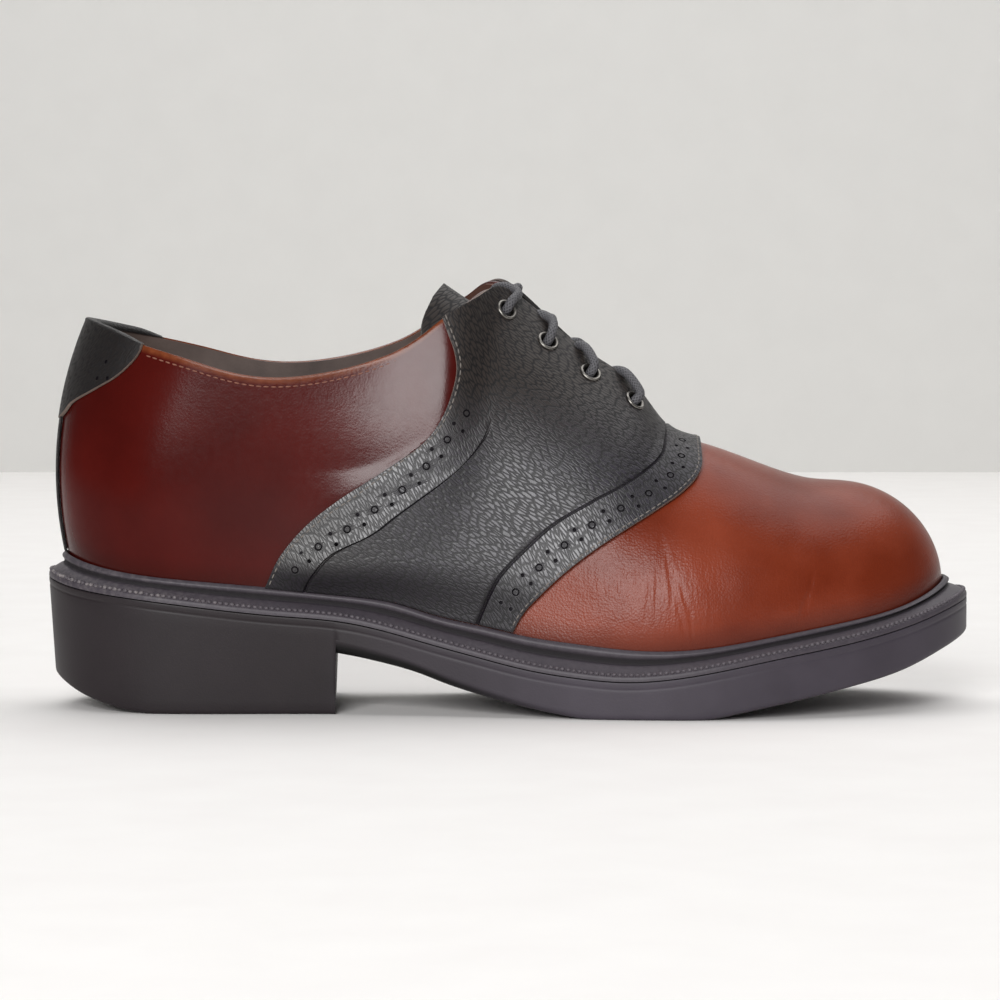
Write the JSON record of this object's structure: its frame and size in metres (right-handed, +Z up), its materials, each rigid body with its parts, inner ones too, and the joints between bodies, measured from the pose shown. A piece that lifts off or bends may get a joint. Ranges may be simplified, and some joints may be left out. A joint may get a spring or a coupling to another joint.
{
  "type": "saddle oxford shoe",
  "caption": "Low lace-up leather shoe with a grained saddle over the instep, stitched welt and one-piece rubber sole and heel, standing empty.",
  "frame": {"origin": "on the floor under the middle of the sole", "axes": "+X to the toe, +Y to the inner side of the foot, +Z up"},
  "size_m": [0.2972, 0.1028, 0.137],
  "materials": {
    "brown_leather": "polished",
    "black_leather": "pebbled",
    "lining": "matte",
    "sole_rubber": "satin",
    "welt": "satin",
    "eyelet_metal": "satin",
    "lace": "woven"
  },
  "bodies": {
    "root": {"outsole": "sole_rubber", "welt": "welt", "insole": "lining", "upper": "brown_leather", "saddle": "black_leather", "heel_tab": "black_leather", "tongue": "black_leather", "eyelet_lat_1": "eyelet_metal", "eyelet_lat_2": "eyelet_metal", "eyelet_lat_3": "eyelet_metal", "eyelet_lat_4": "eyelet_metal", "eyelet_med_1": "eyelet_metal", "eyelet_med_2": "eyelet_metal", "eyelet_med_3": "eyelet_metal", "eyelet_med_4": "eyelet_metal", "lace_cross_1": "lace", "lace_cross_2": "lace", "lace_cross_3": "lace", "lace_bar": "lace"}
  },
  "joints": []
}
